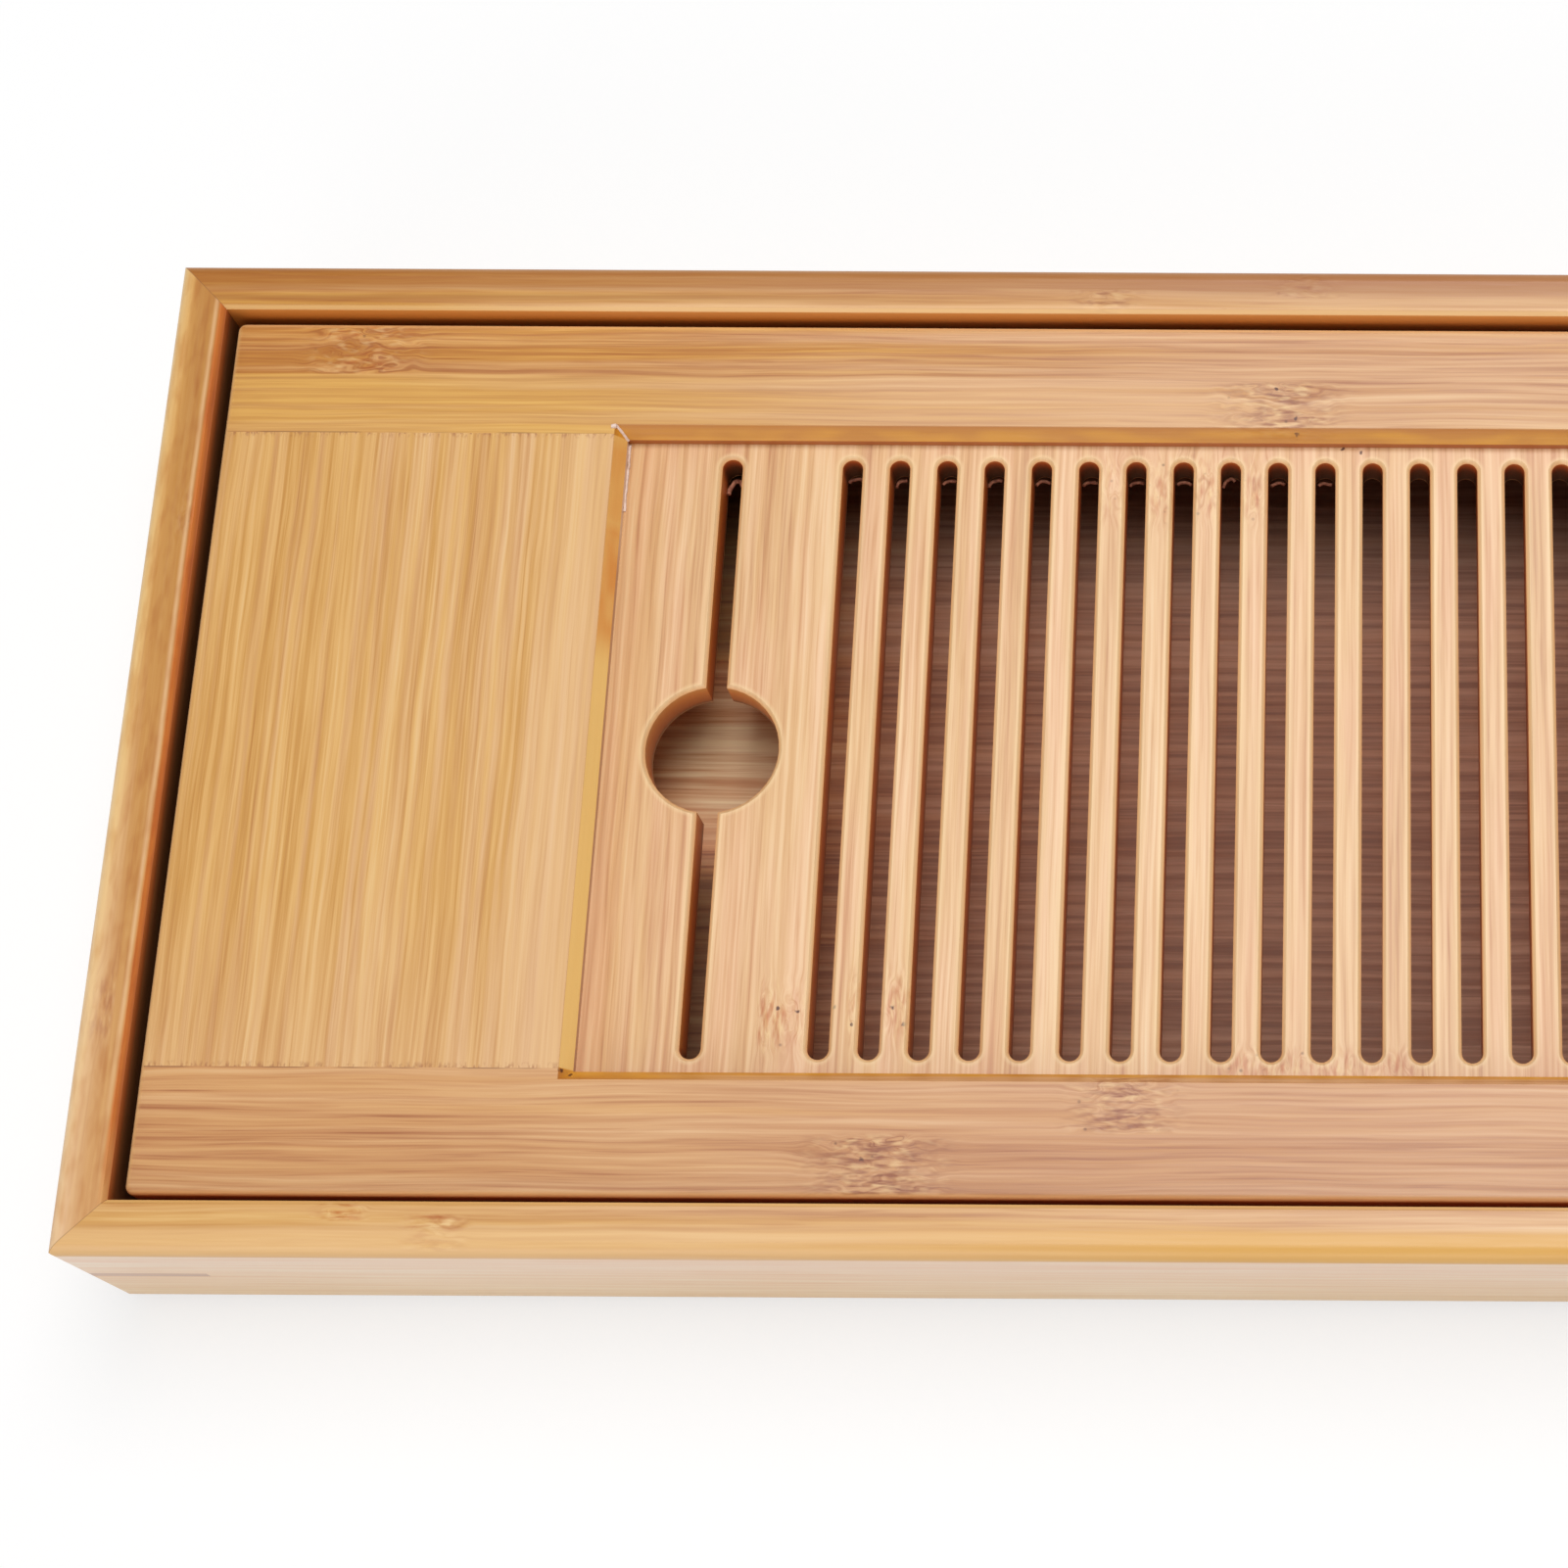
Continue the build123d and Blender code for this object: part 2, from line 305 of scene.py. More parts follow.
class Bamboo:
    """A bamboo finish under construction: grain first, then what lies over it."""

    def __init__(self, name, along, left, right, strip_width, seed, waviness=0.9, fibre=1.0,
                 contrast=1.0, knuckles=(), stain=STAIN, aged_stain=GOLDEN_STAIN):
        self.material, self.nodes, self.surface = new_material(name)
        nodes = self.nodes
        scale = nodes.add("ShaderNodeVectorMath", operation="SCALE")
        nodes.feed(scale.inputs[0], nodes.place())
        scale.inputs["Scale"].default_value = TO_MM
        self.x, self.y, self.z = nodes.split(scale.outputs[0])
        self.run, side = (self.x, self.y) if along == "X" else (self.y, self.x)
        place = nodes.vector(self.run, side, self.z)
        # Each piece is cut from another stretch of bamboo
        self.cut = nodes.vector(nodes.plus(self.run, seed), nodes.plus(side, seed), self.z)
        slant = nodes.plus(self.run, nodes.times(side, 0.6))
        self.crumple = nodes.noise(nodes.vector(slant, side, self.z), (2.4, 0.9, 0.9), 1, 0.6)
        self.knuckle = nodes.add("ShaderNodeValue").outputs[0]
        for run_at, side_at, reach, width in knuckles:
            mask = nodes.group(KNUCKLE, place, run_at, side_at, reach, width)[0]
            self.knuckle = nodes.math("MAXIMUM", self.knuckle, mask)
        tone, hue, self.fine = nodes.group(GRAIN, self.cut, strip_width, self.knuckle, waviness, fibre)
        self.tone = nodes.plus(nodes.times(tone, contrast), 0.5 - 0.5 * contrast)
        # The tray is more golden at the left and rosier to the right, fibre by fibre; the paler right side
        # is partly a painted sheen
        drift = nodes.plus(nodes.between(self.x, -170.0, 15.0), nodes.times(nodes.minus(hue, 0.5), 0.9))
        self.colour = nodes.mix(nodes.between(drift, 0.0, 1.0), self.tones(left), self.tones(right))
        if knuckles:
            self.mark_knuckles(stain, aged_stain)

    def tones(self, kind):
        return self.nodes.ramp(self.tone, TONE_PLACES, TONES[kind])

    def mark_knuckles(self, stain, aged_stain):
        """Crumpled fibres with a painted highlight on their ridges, short dark marks and pits where a
        knuckle crosses.
        """
        nodes = self.nodes
        # Painted highlight on the crumpled ridges
        self.paint(nodes.times(self.knuckle, nodes.between(self.crumple, 0.55, 0.9)), RIDGE_HIGHLIGHT, 0.5)
        marks = nodes.between(nodes.noise(self.cut, (3.0, 0.6, 0.6), 2), 0.35, 0.9)
        tint = nodes.mix(nodes.between(self.x, -145.0, -80.0), aged_stain, stain)
        self.shade(nodes.times(self.knuckle, marks), tint)
        cells = nodes.add("ShaderNodeTexVoronoi", feature="F1", voronoi_dimensions="3D")
        cells.inputs["Scale"].default_value = 0.36
        nodes.feed(cells.inputs["Vector"], self.cut)
        pit = nodes.between(cells.outputs["Distance"], 0.12, 0.05)
        self.paint(nodes.times(pit, nodes.between(self.knuckle, 0.2, 0.5)), PIT, 0.6)

    def pits(self, places):
        """Small dark holes in the top, where a vein of the bamboo was cut through."""
        nodes = self.nodes
        # Starts at a distance well beyond any pit
        nearest = 9.0
        for x, y in places:
            away = nodes.vector(nodes.minus(self.x, x), nodes.minus(self.y, y), 0.0)
            length = nodes.add("ShaderNodeVectorMath", operation="LENGTH")
            nodes.feed(length.inputs[0], away)
            nearest = nodes.math("MINIMUM", nearest, length.outputs["Value"])
        ragged = nodes.times(nodes.minus(nodes.noise(self.cut, (0.5, 0.5, 0.5)), 0.5), 0.3)
        self.paint(nodes.between(nodes.plus(nearest, ragged), PIT_RADIUS, PIT_RADIUS * 0.4), PIT, 0.93)

    def paint(self, mask, colour, strength):
        """Cover with a colour where the mask is."""
        self.colour = self.nodes.mix(self.nodes.times(mask, strength), self.colour, colour)

    def two_tones(self, dark, light, low=0.2, high=0.8):
        """A dark and a light tone that follow the grain."""
        return self.nodes.mix(self.nodes.between(self.tone, low, high), srgb(*dark), srgb(*light))

    def tint(self, mask, dark, light, strength):
        """Paint with two tones that follow the grain."""
        self.paint(mask, self.two_tones(dark, light), strength)

    def shade(self, mask, colour):
        """Multiply by a colour where the mask is, so that the grain still shows."""
        self.colour = self.nodes.mix(mask, self.colour, colour, "MULTIPLY")

    def finish(self, roughness=0.45, coat=0.35):
        """Wire the colour, a roughness that follows the fibres, and their fine relief."""
        nodes, surface = self.nodes, self.surface
        nodes.feed(surface.inputs["Base Color"], self.colour)
        nodes.feed(surface.inputs["Roughness"], nodes.plus(nodes.times(self.fine, 0.14), roughness - 0.07))
        surface.inputs["Specular IOR Level"].default_value = 0.4
        surface.inputs["Coat Weight"].default_value = coat
        surface.inputs["Coat Roughness"].default_value = 0.3
        crumpled = nodes.times(self.knuckle, self.crumple, 6.0)
        fibres = nodes.plus(nodes.noise(self.cut, (14, 0.5, 0.5), 1), crumpled)
        nodes.relief(surface, fibres, 0.4, 0.03 / TO_MM)
        return self.material


def dress(node, material):
    """Give a piece of the frame its finish."""
    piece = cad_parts[node]
    piece.data.materials.clear()
    piece.data.materials.append(material)


def rim_bands(wall, inwards, top, bands):
    """Bands along the rim's top, which keep the grain and wander a little with it."""
    nodes = wall.nodes
    waver = nodes.times(nodes.minus(nodes.noise(wall.cut, (60, 30, 30), 1), 0.5), 0.7)
    wavy = nodes.plus(inwards, waver)
    for low, high, soft, colour, strength, *span in bands:
        band = nodes.times(nodes.within(wavy, low, high, soft), top)
        if span:
            band = nodes.times(band, nodes.between(wall.run, *span))
        wall.paint(band, srgb(*colour), strength)


def sheen_painted_outside(wall, inwards, top):
    """The outer faces: painted pale as a painted sheen, and less yellow towards the rim."""
    nodes = wall.nodes
    face = nodes.times(nodes.between(inwards, 0.9, 0.5), nodes.between(top, 0.6, 0.4))
    low_tone = wall.two_tones((242, 199, 150), (255, 231, 197), 0.15, 0.85)
    high_tone = wall.two_tones((250, 208, 176), (255, 235, 215), 0.15, 0.85)
    height = nodes.between(wall.z, 6.0, RIM_TOP - 6.0)
    # Pale paint that stands for the sheen of the white room on the outer faces
    wall.paint(face, nodes.mix(height, low_tone, high_tone), 0.92)


def burnt_and_shaded_inside(wall, inwards, long_wall):
    """The burnt inner face, darker downwards as painted shade: orange under a painted highlight on the long
    walls' arris, brown on the short ones.
    """
    nodes = wall.nodes
    inner = nodes.times(nodes.between(inwards, WALL_THICK - 0.25, WALL_THICK - 0.1),
                        nodes.between(wall.z, RIM_TOP - 0.45, RIM_TOP - 0.75))
    tones = ((196, 110, 54), (112, 56, 26), (92, 46, 22), (78, 40, 20))
    if long_wall:
        tones = ((234, 154, 72), (208, 120, 46), (200, 106, 36), (186, 88, 22))
    # Darker downwards: painted shade towards the gap round the lid
    depth = nodes.between(wall.z, RIM_TOP - 0.6, LID_BOTTOM + 3)
    wall.paint(inner, nodes.ramp(depth, (0.0, 0.25, 0.5, 1.0), tones), 0.9)
    if long_wall:
        # Painted highlight on the inner arris
        arris = nodes.times(nodes.between(inwards, WALL_THICK - 0.6, WALL_THICK - 0.4),
                            nodes.between(wall.z, RIM_TOP - 0.75, RIM_TOP - 0.5))
        wall.paint(arris, srgb(250, 204, 130), 0.45)


def wall_finish(name, along, left, bands, knuckles, seed):
    """A wall: bands along the rim's top, mitre lines, outer faces with a painted sheen, and a burnt inner
    face with painted shade.
    """
    long_wall = along == "X"
    wall = Bamboo("bamboo_" + name, along, left, "pale", strip_width=2.3, waviness=0.5, fibre=0.7,
                  contrast=0.85, knuckles=knuckles, seed=seed,
                  aged_stain=GOLDEN_STAIN if long_wall else ROSY_STAIN)
    nodes = wall.nodes
    from_short_side = nodes.minus(HALF_LENGTH, nodes.size(wall.x))
    from_long_side = nodes.minus(HALF_DEPTH, nodes.size(wall.y))
    inwards = from_long_side if long_wall else from_short_side
    top = nodes.between(wall.z, ROUND_FOOT - 0.6, ROUND_FOOT - 0.2)
    rim_bands(wall, inwards, top, bands)
    if not long_wall:
        blotches = nodes.between(nodes.noise(wall.cut, (7, 1.8, 1.8), 2, 0.6), 0.4, 0.95)
        wall.shade(nodes.times(blotches, top, 0.7), srgb(232, 208, 180))
    mitre = nodes.within(nodes.minus(from_short_side, from_long_side), -0.07, 0.07, 0.06)
    wall.paint(mitre, SEAM, 0.5)
    sheen_painted_outside(wall, inwards, top)
    burnt_and_shaded_inside(wall, inwards, long_wall)
    return wall.finish()


def ledge_finish(name, along, seed):
    """A ledge strip: plain bamboo, with painted shade at its top under the lid."""
    ledge = Bamboo("bamboo_" + name, along, "brown", "brown", strip_width=6.5, seed=seed)
    # Painted shade near the top, under the lid
    under_lid = ledge.nodes.between(ledge.z, LID_BOTTOM - 1.5, LID_BOTTOM - 0.2)
    ledge.shade(under_lid, srgb(150, 120, 96))
    return ledge.finish(roughness=0.6, coat=0.0)


def lid_sides(piece, inwards):
    """The lid's outer edge: a painted highlight on the upper arris over painted shade on the sides, lighter
    at the front.
    """
    nodes = piece.nodes
    arris = nodes.times(nodes.within(piece.z, LID_TOP - 0.6, LID_TOP - 0.02, 0.1),
                        nodes.between(inwards, 0.9, 0.5))
    away_from_front = nodes.between(piece.y, 0.5 - LID_HALF_DEPTH, 2.0 - LID_HALF_DEPTH)
    # Painted highlight on the upper arris, a little weaker at the front
    piece.paint(nodes.times(arris, away_from_front), srgb(255, 208, 146), 0.6)
    piece.paint(nodes.times(arris, nodes.minus(1.0, away_from_front)), srgb(255, 200, 132), 0.5)
    # Painted shade on the sides in the gap round the lid, lighter at the front
    sides = nodes.times(nodes.between(piece.z, LID_TOP - 0.95, LID_TOP - 1.2),
                        nodes.between(inwards, 0.3, 0.15))
    at_front = nodes.mix(nodes.between(piece.x, -60.0, 30.0), srgb(192, 134, 92), srgb(240, 184, 134))
    piece.shade(sides, nodes.mix(nodes.between(piece.y, 0.0, -50.0), srgb(150, 104, 76), at_front))


def bevel_slope(piece, lengthwise):
    """The bevel's colours: aged at the ends, golden along the rails, orange at the left, dark below."""
    nodes = piece.nodes
    aged = nodes.mix(nodes.between(piece.y, 8.0, 46.0), srgb(250, 204, 118), srgb(236, 184, 96))
    blotches = nodes.between(nodes.noise(piece.cut, (9, 3, 3), 1), 0.2, 0.8)
    golden = nodes.mix(blotches, srgb(204, 130, 0), srgb(224, 154, 12))
    golden = nodes.mix(nodes.between(piece.z, LID_TOP - 0.9, LID_TOP - 0.1), golden, srgb(190, 112, 0))
    slope = nodes.mix(lengthwise, aged, golden)
    # The orange patch is strong in its middle, faint towards the back and soft at its front end
    left_side = nodes.between(piece.x, 0.0, -5.0)
    faint = nodes.times(nodes.within(piece.y, 33.4, 47.0, 1.5), 0.6)
    strong = nodes.times(nodes.between(piece.y, 11.5, 18.5, smooth=True), nodes.between(piece.y, 34.2, 32.6))
    patch = nodes.plus(strong, faint)
    orange = nodes.times(patch, left_side, nodes.plus(nodes.times(blotches, 0.4), 0.5))
    slope = nodes.mix(orange, slope, srgb(222, 134, 38))
    foot = nodes.between(piece.z, LID_TOP - BEVEL_DROP, LID_TOP - BEVEL_DROP - 0.1)
    foot_tone = nodes.mix(nodes.between(piece.y, 27.0, 33.0), srgb(186, 134, 100), srgb(226, 196, 172))
    return nodes.mix(foot, slope, nodes.mix(lengthwise, foot_tone, srgb(166, 76, 12)))


def recess_bevel(piece, inwards):
    """The bevel round the recess, which is cut across the fibres and holds more lacquer."""
    nodes = piece.nodes
    bevel = nodes.times(nodes.between(piece.z, LID_TOP - 0.02, LID_TOP - 0.15),
                        nodes.between(piece.z, PANEL_TOP - 1.5, PANEL_TOP - 0.5),
                        nodes.between(inwards, 3.0, 4.0))
    lengthwise = nodes.between(nodes.size(piece.y), RAIL_EDGE - 0.2, RAIL_EDGE - 0.05)
    slope = bevel_slope(piece, lengthwise)
    # The front bevel keeps the rail's own colour, except low down and towards the left corner
    front = nodes.times(lengthwise, nodes.between(piece.y, 0.0, -5.0))
    low = nodes.between(piece.z, LID_TOP - 1.0, LID_TOP - 1.7)
    near_corner = nodes.between(piece.x, -88.0, -100.0)
    plain = nodes.times(front, nodes.minus(1.0, nodes.math("MAXIMUM", low, near_corner)))
    piece.paint(bevel, slope, nodes.minus(0.84, nodes.times(plain, 0.7)))


def lid_edges(piece):
    """What the rails and end panels share: the lid's sides and the recess's bevel."""
    nodes = piece.nodes
    beyond_x = nodes.minus(LID_HALF_LENGTH, nodes.size(piece.x))
    beyond_y = nodes.minus(LID_HALF_DEPTH, nodes.size(piece.y))
    inwards = nodes.math("MINIMUM", beyond_x, beyond_y)
    lid_sides(piece, inwards)
    recess_bevel(piece, inwards)


def rail_finish(name, left, strip_width, knuckles, pits, seed):
    """A rail: its strips, the lid's edges, a faint joint with the end panels, and pits."""
    rail = Bamboo("bamboo_" + name, "X", left, "pale", strip_width=strip_width, waviness=0.7, fibre=0.5,
                  contrast=0.85, knuckles=knuckles, seed=seed)
    nodes = rail.nodes
    # The front rail is slightly rosier, except at its left end
    in_front = nodes.between(rail.y, 0.0, -40.0)
    rail.shade(nodes.times(in_front, nodes.between(rail.x, -100.0, -50.0)), srgb(244, 235, 235))
    # The back rail is of two strips: the one beside the recess is paler, the other golden at its left end
    strip_joint = 57.4
    from_left = nodes.between(rail.x, -120.0, -70.0)
    low_strip = nodes.times(nodes.within(rail.y, RAIL_EDGE, strip_joint, 0.3),
                            nodes.between(rail.x, -10.0, -30.0))
    rail.paint(low_strip, nodes.mix(from_left, srgb(238, 190, 104), srgb(240, 194, 146)), 0.33)
    high_strip = nodes.between(rail.y, strip_joint - 0.4, strip_joint + 0.6)
    rail.tint(nodes.times(high_strip, nodes.minus(1.0, from_left)), (190, 120, 40), (240, 180, 92), 0.3)
    lid_edges(rail)
    # The joint with the end panels shows as a faint broken line
    broken = nodes.between(nodes.noise(rail.cut, (7, 7, 7), 1), 0.25, 0.7)
    joint = nodes.times(nodes.within(nodes.size(rail.y), RAIL_EDGE - 0.02, RAIL_EDGE + 0.16, 0.06),
                        nodes.between(rail.z, LID_TOP - 0.1, LID_TOP - 0.02), broken)
    rail.paint(joint, SEAM, 0.6)
    rail.pits(pits)
    return rail.finish()


def end_panel_finish(name, seed):
    """An end panel: fine fibres that end in a row of torn specks at both rails."""
    panel = Bamboo("bamboo_" + name, "Y", "straw", "pale", strip_width=2.6, waviness=0.6, fibre=0.46,
                   contrast=0.72, seed=seed)
    nodes = panel.nodes
    # Rosier at its front end, and paler beside the recess
    panel.tint(nodes.between(panel.y, -22.0, -46.0), (214, 158, 108), (240, 198, 150), 0.4)
    beside_recess = nodes.between(nodes.size(panel.x), RECESS_EDGE + 12.0, RECESS_EDGE + 5.0)
    panel.paint(beside_recess, srgb(240, 196, 146), 0.4)
    specks = nodes.between(nodes.noise(panel.cut, (0.9, 0.4, 0.4), 1), 0.45, 0.85)
    torn = nodes.times(nodes.between(nodes.size(panel.y), RAIL_EDGE - 0.9, RAIL_EDGE), specks)
    panel.paint(torn, srgb(168, 104, 62), 0.75)
    lid_edges(panel)
    return panel.finish()


def opening_distance(panel):
    """How far a place on the slotted panel is from its nearest slot or finger hole."""
    nodes = panel.nodes
    out = nodes.size(panel.x)
    nearest = nodes.times(nodes.math("ROUND", nodes.math("DIVIDE", out, PITCH)), PITCH)
    beside_slot = nodes.size(nodes.minus(out, nearest))
    beside_finger = nodes.size(nodes.minus(out, FINGER_HOLE))
    # Past the row of even slots, only the slot through the finger hole counts
    row_end = SLOTS_EACH_SIDE * PITCH + 4.0
    past_row = nodes.between(out, row_end, row_end + 0.1)
    beside = nodes.plus(nodes.times(beside_slot, nodes.minus(1.0, past_row)),
                        nodes.times(beside_finger, past_row))
    past_end = nodes.math("MAXIMUM", nodes.minus(nodes.size(panel.y), SLOT_STRAIGHT), 0.0)
    from_slot = nodes.minus(nodes.length(beside, past_end), SLOT_HALF_WIDTH)
    from_hole = nodes.minus(nodes.length(beside_finger, panel.y), FINGER_RADIUS)
    return nodes.math("MINIMUM", from_slot, from_hole)


def slotted_finish(knuckles, pits):
    """The slotted panel: a painted highlight round each slot, and walls burnt by the cutter, with painted
    shade deeper down.
    """
    panel = Bamboo("bamboo_slotted", "Y", "cream", "milky", strip_width=3.4, waviness=0.5, fibre=0.55,
                   knuckles=knuckles, stain=srgb(220, 170, 142), seed=91.0)
    nodes = panel.nodes
    # Some strips are rosier than others
    rosy = nodes.between(nodes.noise(panel.cut, (30, 3.4, 50), 1), 0.3, 0.85)
    panel.tint(rosy, (224, 162, 118), (252, 206, 168), 0.5)
    # Darker beside the recess's ends: partly a darker strip, partly painted shade under the bevel
    beside_ends = nodes.between(nodes.size(panel.x), RECESS_EDGE - 7.5, RECESS_EDGE - 3.0)
    panel.shade(nodes.times(beside_ends, 0.8), srgb(240, 225, 204))
    panel.pits(pits)
    # A painted highlight round each opening, with a toasted line on its eased edge
    away = opening_distance(panel)
    panel.paint(nodes.between(away, SLOT_EASE + 0.6, SLOT_EASE), SLOT_HIGHLIGHT, 0.5)
    panel.paint(nodes.between(away, SLOT_EASE * 0.8, 0.0), srgb(232, 158, 88), 0.6)
    # The walls are burnt by the cutter and darker with depth as painted shade, nearly black at the round
    # ends, where the painted shade is deepest
    wall = nodes.times(nodes.between(panel.z, PANEL_TOP - SLOT_EASE - 0.02, PANEL_TOP - SLOT_EASE - 0.12),
                       nodes.between(panel.z, LID_BOTTOM + 0.02, LID_BOTTOM + 0.2))
    depth = nodes.between(panel.z, PANEL_TOP - SLOT_EASE, LID_BOTTOM)
    side_tones = nodes.ramp(depth, (0.0, 0.3, 0.8, 1.0),
                            ((238, 160, 80), (226, 128, 50), (190, 92, 30), (104, 44, 14)))
    end_tones = nodes.ramp(depth, (0.0, 0.18, 0.45, 1.0),
                           ((222, 112, 40), (176, 72, 20), (100, 40, 12), (40, 16, 6)))
    at_end = nodes.between(nodes.size(panel.y), SLOT_STRAIGHT - 0.8, SLOT_STRAIGHT + 0.6)
    panel.paint(wall, nodes.mix(at_end, side_tones, end_tones), 0.92)
    return panel.finish()


def board_finish():
    """The bottom board: painted shade at its ends and back, and painted light under the finger holes and
    towards the front.
    """
    board = Bamboo("bamboo_board", "X", "warm", "brown", strip_width=13.0, waviness=0.5, fibre=0.7,
                   contrast=1.15, seed=5.0)
    nodes = board.nodes
    # Duller between the finger holes
    board.tint(nodes.between(nodes.size(board.x), 88.0, 70.0), (168, 122, 98), (216, 170, 142), 0.62)
    # Painted shade towards the ends, but a painted pool of light under each finger hole, centred a little
    # behind it
    light_spot_back = 5.0
    from_light_spot = nodes.length(nodes.minus(nodes.size(board.x), FINGER_HOLE),
                               nodes.minus(board.y, light_spot_back))
    ends = nodes.between(nodes.size(board.x), 74.0, 92.0, smooth=True)
    board.shade(nodes.times(ends, nodes.between(from_light_spot, 13.0, 20.0, smooth=True)), srgb(186, 190, 162))
    painted_light_spot = nodes.between(from_light_spot, 17.0, 6.0, smooth=True)
    board.tint(painted_light_spot, (214, 152, 100), (255, 226, 178), 0.8)
    # Painted light, paler towards the front
    board.tint(nodes.between(board.y, 5.0, -50.0), (214, 164, 134), (255, 222, 194), 0.25)
    # Painted shade along the back, under the back of the lid
    board.shade(nodes.between(board.y, 26.0, 50.0, smooth=True), srgb(168, 186, 196))
    return board.finish(roughness=0.55, coat=0.1)


def key_finish():
    """The mitre keys: darker bamboo, sanded flush, painted pale with the same painted sheen as the walls'
    outer faces.
    """
    key = Bamboo("bamboo_key", "X", "brown", "brown", strip_width=4.0, seed=9.0)
    # Pale paint that stands for the same sheen as on the walls' outer faces
    key.paint(1.0, srgb(222, 196, 178), 0.75)
    return key.finish(roughness=0.5)


def plain_finish(name, dark, light, grain, roughness):
    """A mottled finish for the small bits: torn fibres and dried glue."""
    material, nodes, surface = new_material(name)
    mottle = nodes.noise(nodes.place(), (grain / TO_MM,) * 3, 2)
    nodes.feed(surface.inputs["Base Color"], nodes.mix(mottle, srgb(*dark), srgb(*light)))
    nodes.feed(surface.inputs["Roughness"], nodes.plus(nodes.times(mottle, 0.2), roughness))
    nodes.relief(surface, mottle, 0.4, 0.05 / TO_MM)
    return material


def rubber_finish():
    """Dark rubber with a fine moulded texture and a dusty bloom."""
    material, nodes, surface = new_material("rubber_foot")
    place = nodes.place()
    bloom = nodes.noise(place, (0.004, 0.004, 0.004), 3)
    nodes.feed(surface.inputs["Base Color"], nodes.mix(bloom, srgb(48, 46, 45), srgb(74, 72, 70)))
    nodes.feed(surface.inputs["Roughness"], nodes.plus(nodes.times(bloom, 0.2), 0.6))
    nodes.relief(surface, nodes.noise(place, (0.0006, 0.0006, 0.0006), 1), 0.3, 0.1 / TO_MM)
    return material


def new_growth(name, inputs):
    """An empty geometry tree with named inputs, each a (name, kind), and the socket for its result."""
    tree = bpy.data.node_groups.new(name, "GeometryNodeTree")
    tree.interface.new_socket("Geometry", in_out="OUTPUT", socket_type="NodeSocketGeometry")
    for label, kind in inputs:
        tree.interface.new_socket(label, in_out="INPUT", socket_type=kind)
    nodes = Nodes(tree)
    return nodes, nodes.add("NodeGroupInput").outputs, nodes.add("NodeGroupOutput").inputs[0]


def grown(name, tree, values, material, body):
    """Grow a tree into a plain mesh piece that rides on a body. Values are set by input name."""
    carrier = bpy.data.objects.new(name, bpy.data.meshes.new(name))
    bpy.context.collection.objects.link(carrier)
    modifier = carrier.modifiers.new(name, "NODES")
    modifier.node_group = tree
    for socket in tree.interface.items_tree:
        if socket.in_out == "INPUT":
            modifier[socket.identifier] = values.get(socket.name, material)
    mesh = bpy.data.meshes.new_from_object(carrier.evaluated_get(bpy.context.evaluated_depsgraph_get()))
    bpy.data.objects.remove(carrier)
    piece = bpy.data.objects.new(name, mesh)
    bpy.context.collection.objects.link(piece)
    for face in mesh.polygons:
        face.use_smooth = True
    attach(piece, body)
    return piece


def random_between(nodes, low, high, seed):
    """A random value for each thread, the same in every run."""
    node = nodes.add("FunctionNodeRandomValue", data_type="FLOAT")
    node.inputs[2].default_value, node.inputs[3].default_value = low, high
    nodes.feed(node.inputs["Seed"], seed)
    return node.outputs[1]


def realized(nodes, geometry):
    """Turn instances into real geometry."""
    node = nodes.add("GeometryNodeRealizeInstances")
    nodes.feed(node.inputs[0], geometry)
    return node.outputs[0]


def finished(nodes, geometry, material):
    """The end of each tree: real geometry, dressed in its material."""
    node = nodes.add("GeometryNodeSetMaterial")
    nodes.feed(node.inputs["Geometry"], realized(nodes, geometry))
    nodes.feed(node.inputs["Material"], material)
    return node.outputs[0]


def swept(nodes, curve, radius):
    """A capped round thread along a curve."""
    profile = nodes.add("GeometryNodeCurvePrimitiveCircle")
    profile.inputs["Resolution"].default_value = 6
    nodes.feed(profile.inputs["Radius"], radius)
    sweep = nodes.add("GeometryNodeCurveToMesh")
    nodes.feed(sweep.inputs["Curve"], curve)
    nodes.feed(sweep.inputs["Profile Curve"], profile.outputs[0])
    sweep.inputs["Fill Caps"].default_value = True
    return sweep.outputs[0]


def moved(nodes, geometry, seed, size, amount):
    """Shift every point by smooth noise, so that a thread looks torn or dripped."""
    place = nodes.add("GeometryNodeInputPosition").outputs[0]
    noise = nodes.add("ShaderNodeTexNoise", noise_dimensions="4D")
    nodes.feed(noise.inputs["Vector"], place)
    nodes.feed(noise.inputs["W"], seed)
    nodes.feed(noise.inputs["Scale"], 1 / size)
    noise.inputs["Detail"].default_value = 1.0
    centred = nodes.add("ShaderNodeVectorMath", operation="SUBTRACT")
    nodes.feed(centred.inputs[0], noise.outputs["Color"])
    centred.inputs[1].default_value = (0.5, 0.5, 0.5)
    shift = nodes.add("ShaderNodeVectorMath", operation="SCALE")
    nodes.feed(shift.inputs[0], centred.outputs[0])
    nodes.feed(shift.inputs["Scale"], amount)
    node = nodes.add("GeometryNodeSetPosition")
    nodes.feed(node.inputs["Geometry"], geometry)
    nodes.feed(node.inputs["Offset"], shift.outputs[0])
    return node.outputs[0]


